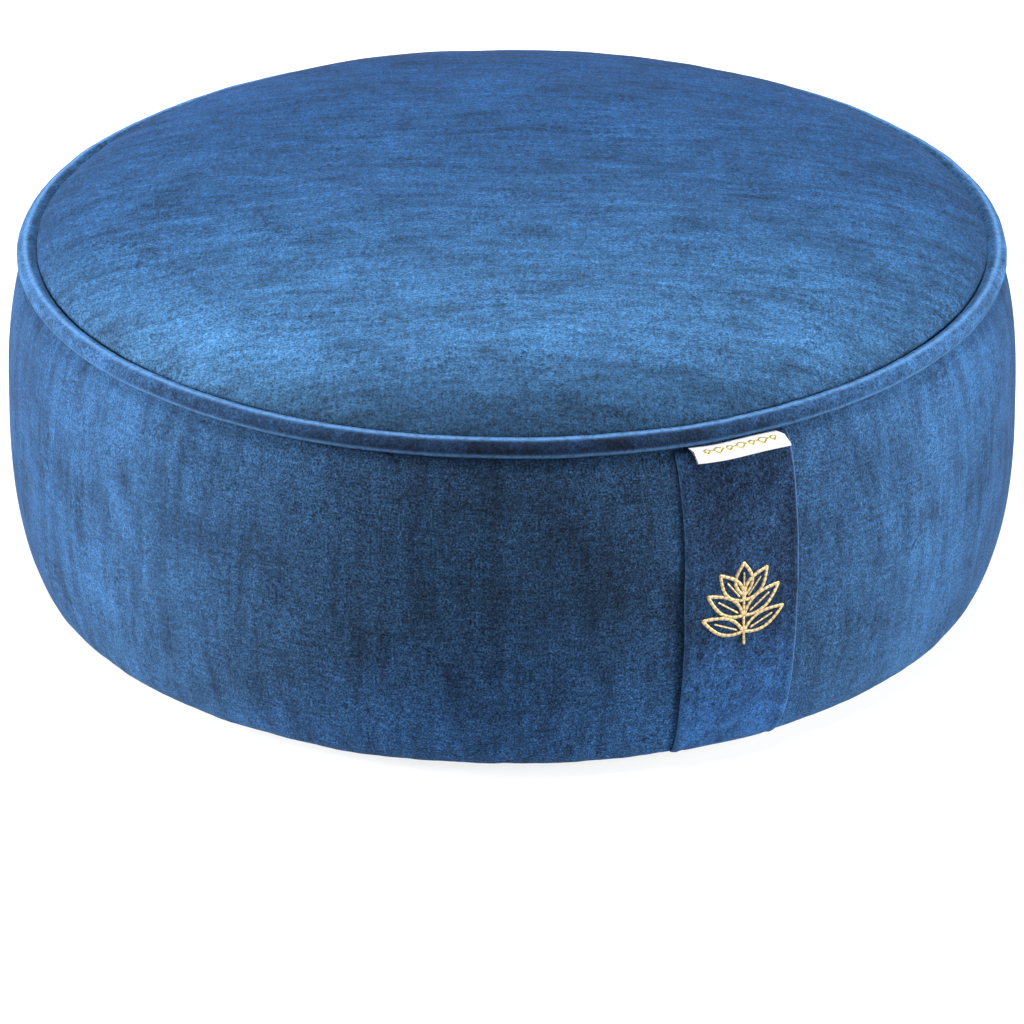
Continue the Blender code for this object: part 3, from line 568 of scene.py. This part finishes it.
def strap(name, low, high, rows):
    """Half the handle: a flat velvet tube with rolled edges."""
    thickness, half, roll = 0.0012, HANDLE_W / 2, 0.0012
    loop = []
    face_steps, roll_steps = 34, 6
    for i in range(face_steps + 1):
        loop.append((-half + roll + (HANDLE_W - 2 * roll) * i / face_steps, 0.0))
    for i in range(1, roll_steps):
        a = math.pi * i / roll_steps
        loop.append((half - roll + roll * math.sin(a), -thickness / 2 * (1 - math.cos(a))))
    for i in range(face_steps + 1):
        loop.append((half - roll - (HANDLE_W - 2 * roll) * i / face_steps, -thickness))
    for i in range(1, roll_steps):
        a = math.pi * i / roll_steps
        loop.append((-half + roll - roll * math.sin(a), -thickness / 2 * (1 + math.cos(a))))
    heights, _ = side_rows(low, high, rows)
    verts, edge = [], []
    for z in heights:
        for x, depth in loop:
            # painted highlight along the handle's folded edges, fainter on the left
            edge_highlight = (1.0 if x > 0 else 0.4) * math.exp(-((half - 0.0002 - abs(x)) / 0.0003) ** 2)
            edge.append(edge_highlight if depth > -0.0007 else 0.0)
            wave = lumps(0.3 if x > 0 else 0.9, 0, z, 0.030, 7.1, 2) * 0.0004 * abs(x) / half
            wave -= 0.0016 * max((z - 0.108) / 0.033, 0.0) ** 1.5 * max(-x / half, 0.0)
            puff = 0.0003 * math.exp(-((half - 0.0026 - abs(x)) / 0.0012) ** 2)
            puff -= 0.0002 * math.exp(-((half - 0.0052 - abs(x)) / 0.0010) ** 2)
            relief = lumps(x, 0, z, 0.020, 2.7, 2) * 0.00025
            verts.append(strap_point(x + wave, z, depth + (puff + relief if depth > -0.001 else 0.0)))
    count = len(loop)
    faces = grid_faces(rows, count, wrap_columns=True)
    faces += [tuple(range(count)), tuple((rows - 1) * count + k for k in range(count))[::-1]]
    return even_normals(mesh_object(name, verts, faces, HANDLE_VELVET, edge=edge))


def satin(lines, name, placing, lift, mat):
    """Lines of satin stitch: each a rounded ridge of strands laid across its path."""
    verts, faces, cloth = [], [], []
    cross = 7
    for path, width in lines:
        steps = np.diff(np.array(path), axis=0)
        run = np.concatenate([[0], np.cumsum(np.hypot(steps[:, 0], steps[:, 1]))])
        count = max(int(run[-1] / 0.00014), 8)
        along = np.linspace(0, run[-1], count)
        xs = np.interp(along, run, [p[0] for p in path])
        ys = np.interp(along, run, [p[1] for p in path])
        tx, ty = np.gradient(xs), np.gradient(ys)
        size = np.hypot(tx, ty)
        first = len(verts)
        for k in range(count):
            taper = min(along[k], run[-1] - along[k]) / (width * 0.5)
            half = width / 2 * min(1.0, 0.35 + 0.65 * taper)
            ragged = half * (1 + 0.05 * math.sin(along[k] / 0.00031) + 0.06 * math.sin(along[k] / 0.00083))
            nx, ny = -ty[k] / size[k], tx[k] / size[k]
            strand = 0.5 + 0.5 * math.cos(TAU * along[k] / 0.00042)
            for c in range(cross):
                t = -1 + 2 * c / (cross - 1)
                height = lift * (0.15 + 0.85 * math.sqrt(max(1 - t * t, 0)) * (0.62 + 0.38 * strand))
                if abs(t) == 1:
                    height = -0.0002
                verts.append(placing(xs[k] + nx * ragged * t, ys[k] + ny * ragged * t, height))
                cloth.append((along[k], half * t, 0.0))
        faces += [tuple(first + q for q in f) for f in grid_faces(count, cross)]
        faces += [tuple(first + c for c in range(cross)),
                  tuple(first + (count - 1) * cross + c for c in range(cross))[::-1]]
        for k in range(count - 1):
            this, after = first + k * cross, first + (k + 1) * cross
            faces.append((this, after, after + cross - 1, after - 1))
    return even_normals(mesh_object(name, verts, faces, mat, cloth=cloth))


def leaf_outline(base, lean, length, width):
    """A leaf's closed outline and its midrib, as two paths in the emblem's plane."""
    c, s = math.cos(lean), math.sin(lean)
    steps = 26
    right = []
    for i in range(steps + 1):
        share = i / steps
        right.append((width / 2 * math.sin(math.pi * share ** 0.85), length * share))
    left = [(-x, y) for x, y in right[::-1]]
    turn = [(base[0] + x * c + y * s, base[1] - x * s + y * c) for x, y in right + left[1:]]
    rib = [(base[0] + y * s, base[1] + y * c) for y in (length * 0.14, length * 0.45, length * 0.72)]
    return turn, rib


def sprig():
    """A generic sprig: seven pointed leaves on one stem."""
    half = EMBLEM / 2
    lines = []
    leaves = [((0.0, half * 0.22), 0.0, 0.0139, 0.0074)]
    for height, lean, length in ((-0.66, 66, 0.0188), (-0.27, 54, 0.0186), (0.10, 38, 0.0158)):
        for side in (-1, 1):
            leaves.append(((side * 0.0004, half * height), math.radians(side * lean), length, 0.0070))
    for base_point, lean, length, width in leaves:
        outline, rib = leaf_outline(base_point, lean, length, width)
        lines += [(outline, 0.00165), (rib, 0.0009)]
    lines.append(([(0.0006, -half), (0.0001, -half * 0.6), (0.0, -half * 0.1), (0.0, half * 0.24)], 0.0014))

    def placing(x, y, height):
        return strap_point(x, HANDLE_MIDDLE + y, height)

    return satin(lines, "sprig_embroidery", placing, 0.00055, GOLD)


# ---- label ----
def label_frame(across, run, out=0.0):
    """A point on the label: across it, run metres out from its sewn edge, out metres above its middle."""
    line = [(0.0, 0.2036, 0.1423), (0.0065, 0.2100, 0.1430), (0.0128, 0.2158, 0.1404)]
    r = np.interp(run, [p[0] for p in line], [p[1] for p in line])
    z = np.interp(run, [p[0] for p in line], [p[2] for p in line])
    z += 0.0003 * math.sin(across / LABEL_W * math.pi * 2)
    angle = -math.pi / 2 + (across - LABEL_SHIFT) / WELT_R
    out *= min(1.0, 0.2 + run / 0.006)
    return (r + out * 0.35) * math.cos(angle), (r + out * 0.35) * math.sin(angle), z + out


def ribbon_label():
    """A satin ribbon folded into a narrow loop, sewn in under the piping."""
    length, half_gap = 0.0117, 0.0005
    profile = [(length * i / 14, half_gap) for i in range(15)]
    for i in range(1, 6):
        a = math.pi / 2 - math.pi * i / 6
        profile.append((length + half_gap * math.cos(a), half_gap * math.sin(a)))
    profile += [(length * i / 14, -half_gap) for i in range(14, -1, -1)]
    columns = 60
    verts = []
    for j in range(columns + 1):
        across = (j / columns - 0.5) * LABEL_W
        verts += [label_frame(across, run, out) for run, out in profile]
    return mesh_object("ribbon_label", verts, grid_faces(columns + 1, len(profile)), WHITE_RIBBON)


def label_motif():
    """A row of gold lozenges and dashes, woven on the ribbon."""
    lines = []
    for k in range(-3, 4):
        x, y, size = k * 0.0046, 0.0068, 0.0014 if k % 2 else 0.0020
        lines.append(([(x - size, y), (x, y + size), (x + size, y), (x, y - size), (x - size, y)], 0.0008))
        if k < 3:
            lines.append(([(x + 0.0018, y), (x + 0.0028, y)], 0.0007))

    def placing(x, y, height):
        return label_frame(x, y, 0.0005 + max(height, 0.00003))

    return satin(lines, "label_motif", placing, 0.00012, LABEL_GOLD)


# ---- stitches ----
def stitches(name, path, pitch, length, tube, mat):
    """Thread stitches along a path of (point, outward direction) pairs, each a low rounded bar."""
    verts, faces = [], []
    points = [Vector(p) for p, _ in path]
    run = np.concatenate([[0], np.cumsum([(b - a).length for a, b in zip(points, points[1:])])])
    for start in np.arange(pitch / 2, run[-1] - length, pitch):
        first = len(verts)
        ends = []
        for travelled in (start, start + length):
            k = min(int(np.searchsorted(run, travelled)) - 1, len(points) - 2)
            share = (travelled - run[k]) / (run[k + 1] - run[k])
            ends.append((points[k].lerp(points[k + 1], share), Vector(path[k][1]).normalized()))
        direction = (ends[1][0] - ends[0][0]).normalized()
        for i in range(5):
            share = i / 4
            middle = ends[0][0].lerp(ends[1][0], share)
            middle += ends[0][1] * (tube * 0.55 * math.sin(math.pi * share))
            size = tube * (0.55 + 0.45 * math.sin(math.pi * share))
            side = direction.cross(ends[0][1]).normalized()
            for k in range(6):
                a = TAU * k / 6
                verts.append(middle + side * size * math.cos(a) + ends[0][1] * size * math.sin(a))
        faces += [tuple(first + q for q in f) for f in grid_faces(5, 6, wrap_columns=True)]
        faces += [tuple(first + k for k in range(6))[::-1], tuple(first + 24 + k for k in range(6))]
    return mesh_object(name, verts, faces, mat)


def side_path(start, end, z, out, steps):
    """Points round the side at one height, each with its outward direction."""
    path = []
    for k in range(steps + 1):
        a = start + (end - start) * k / steps
        path.append((side_point(a, z, out), (math.cos(a), math.sin(a), 0.0)))
    return path


def zip_teeth():
    """The coil: a row of small rounded loops on each tape, meeting in the middle."""
    start, end = ZIP_START + math.radians(1.5), ZIP_END - math.radians(1.5)
    count = 300
    made = []
    for name, sign in (("upper", 1), ("lower", -1)):
        verts, faces = [], []
        for k in range(count):
            a = start + (end - start) * (k + (0.5 if sign < 0 else 0.0)) / count
            first = len(verts)
            for i in range(7):
                share = i / 6
                z = ZIP_Z + sign * (0.0001 + 0.0033 * share)
                r = COIL_R + 0.0002 + 0.0005 * math.sin(math.pi * share)
                for q in range(6):
                    b = TAU * q / 6
                    wide = 0.00050 * math.cos(b) / 0.206
                    deep = 0.0005 * math.sin(b)
                    verts.append(((r + deep) * math.cos(a + wide), (r + deep) * math.sin(a + wide), z))
            faces += [tuple(first + m for m in f) for f in grid_faces(7, 6, wrap_columns=True)]
            faces += [tuple(first + m for m in range(6))[::-1], tuple(first + 36 + m for m in range(6))]
        made.append(mesh_object(f"zip_teeth_{name}", verts, faces, ZIP_PLASTIC))
    return made


# ---- assemble ----
place(seat(), "cushion", "navy_velvet", "top_panel")
half_zip = MOUTH / 2
place(band("side_band_front", ZIP_END, ZIP_START + TAU, FOOT_Z, SEAM_Z, rows=96, columns=440,
           folds=("ends",)),
      "cushion", "navy_velvet", "front_band")
place(band("side_band_rear_upper", ZIP_START, ZIP_END, ZIP_Z + half_zip, SEAM_Z, rows=72, columns=260,
           folds=("ends", "zip_above")), "cushion", "navy_velvet", "rear_band_upper")
place(band("side_band_rear_lower", ZIP_START, ZIP_END, FOOT_Z, ZIP_Z - half_zip, rows=44, columns=260,
           folds=("ends", "zip_below")), "cushion", "navy_velvet", "rear_band_lower")
place(base(), "cushion", "navy_velvet", "bottom_panel")
place(welt(), "cushion", "welt_velvet", "piping_cover")

upper = strap("handle_upper_half", HANDLE_MIDDLE, HANDLE_HIGH, rows=90)
lower = strap("handle_lower_half", HANDLE_LOW, HANDLE_MIDDLE, rows=96)
for piece, nodes, start, end in (
        (upper, ("handle_upper_end", "handle_sleeve"), (0, -0.21, 0.1380), (0, -0.21, 0.1120)),
        (lower, ("handle_lower_end", "handle_webbing"), (0, -0.21, 0.0080), (0, -0.21, 0.0440))):
    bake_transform(piece)
    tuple(start)
    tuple(end)
    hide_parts(*nodes)
place(sprig(), "handle_grip", "gold_thread", "handle_emblem")
place(ribbon_label(), "label", "label_satin", "woven_label")
place(label_motif(), "label", "gold_thread")
for piece in zip_teeth():
    place(piece, "cushion", "zip_coil_navy")
for name, z in (("above", ZIP_Z + half_zip + STITCH_INSET), ("below", ZIP_Z - half_zip - STITCH_INSET)):
    path = side_path(ZIP_START + math.radians(0.6), ZIP_END - math.radians(0.6), z, 0.0001, 400)
    place(stitches(f"zip_stitching_{name}", path, pitch=0.0032, length=0.0024, tube=0.00028, mat=NAVY_THREAD),
          "cushion", "navy_velvet")

CAD_LOOKS = {"zip_tape": NAVY_TAPE, "liner_zip_tape": COTTON, "liner": COTTON, "piping_cord": COTTON,
             "buckwheat": HULLS, "zip_coil": ZIP_PLASTIC, "liner_zip_coil": COTTON, "zip_slider": NICKEL,
             "zip_pull": NICKEL, "zip_start": NICKEL, "zip_end": NICKEL, "liner_zip_slider": NICKEL}
for node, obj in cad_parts.items():
    best = max((key for key in CAD_LOOKS if node.startswith(key)), key=len, default=None)
    if best and not obj.hide_render:
        obj.data.materials.clear()
        obj.data.materials.append(CAD_LOOKS[best])


# ---- studio ----
def floor():
    """A paper sweep: flat under the cushion, then curved up behind it. Most of its white is its own glow."""
    n = Nodes("paper_floor")
    n.set(Base_Color=(0.22, 0.22, 0.22, 1), Roughness=0.95)
    n.set(Emission_Color=(1, 1, 1, 1), Emission_Strength=0.8)
    size, front, back_edge, curve, top = 9.0, -6.0, 3.0, 2.0, 6.0
    profile = [(front, 0.0), (back_edge, 0.0)]
    for a in np.linspace(0.1, math.pi / 2, 14):
        profile.append((back_edge + curve * math.sin(a), curve - curve * math.cos(a)))
    profile.append((back_edge + curve, top))
    turn = math.radians(26)
    verts = []
    for across in (-size, size):
        for back, up in profile:
            verts.append((across * math.cos(turn) + back * math.sin(turn),
                          -across * math.sin(turn) + back * math.cos(turn), up - 0.0003))
    obj = mesh_object("studio_sweep", verts, grid_faces(2, len(profile)), n.material)
    obj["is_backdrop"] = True


def area_light(name, azimuth, elevation, power, distance=3.0, size=1.3):
    """azimuth is measured at the cushion from the camera's side, positive to the camera's right."""
    light = bpy.data.lights.new(name, "AREA")
    light.shape, light.size, light.energy = "DISK", size, power
    obj = bpy.data.objects.new(name, light)
    bpy.context.collection.objects.link(obj)
    a, e = math.radians(azimuth + VIEW_AZ), math.radians(elevation)
    target = Vector((0, 0, 0.08))
    away = Vector((math.sin(a) * math.cos(e), -math.cos(a) * math.cos(e), math.sin(e)))
    obj.location = target + away * distance
    obj.rotation_euler = (target - obj.location).to_track_quat("-Z", "Y").to_euler()


def camera():
    """The main view, from the front left and a little above."""
    data = bpy.data.cameras.new("camera")
    data.sensor_width, data.lens = 36.0, VIEW_LENS
    obj = bpy.data.objects.new("camera", data)
    bpy.context.collection.objects.link(obj)
    a, e = math.radians(VIEW_AZ), math.radians(VIEW_EL)
    back = Vector((math.sin(a) * math.cos(e), -math.cos(a) * math.cos(e), math.sin(e)))
    obj.location = Vector((0, 0, VIEW_HEIGHT)) + back * VIEW_DISTANCE
    aim = (-back).to_track_quat("-Z", "Y")
    obj.rotation_mode = "QUATERNION"
    obj.rotation_quaternion = aim @ Quaternion((1, 0, 0), math.radians(VIEW_TILT))
    bpy.context.scene.camera = obj


floor()
for light_name, light_azimuth, light_elevation, watts in (
        ("key_left", -90, 12, 276), ("key_right", 60, 15, 114),
        ("edge_right", 90, 12, 88), ("overhead", 0, 80, 190)):
    area_light(light_name, light_azimuth, light_elevation, watts)
world = bpy.data.worlds.new("studio")
bpy.context.scene.world = world
world.use_nodes = True
world.node_tree.nodes["Background"].inputs[0].default_value = (1, 1, 1, 1)
world.node_tree.nodes["Background"].inputs[1].default_value = WORLD_LIGHT
bpy.context.scene.view_settings.view_transform = "Standard"
bpy.context.scene.view_settings.look = "None"
camera()

[[list(map(float, corner)) for corner in box] for box in (cad_box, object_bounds())]
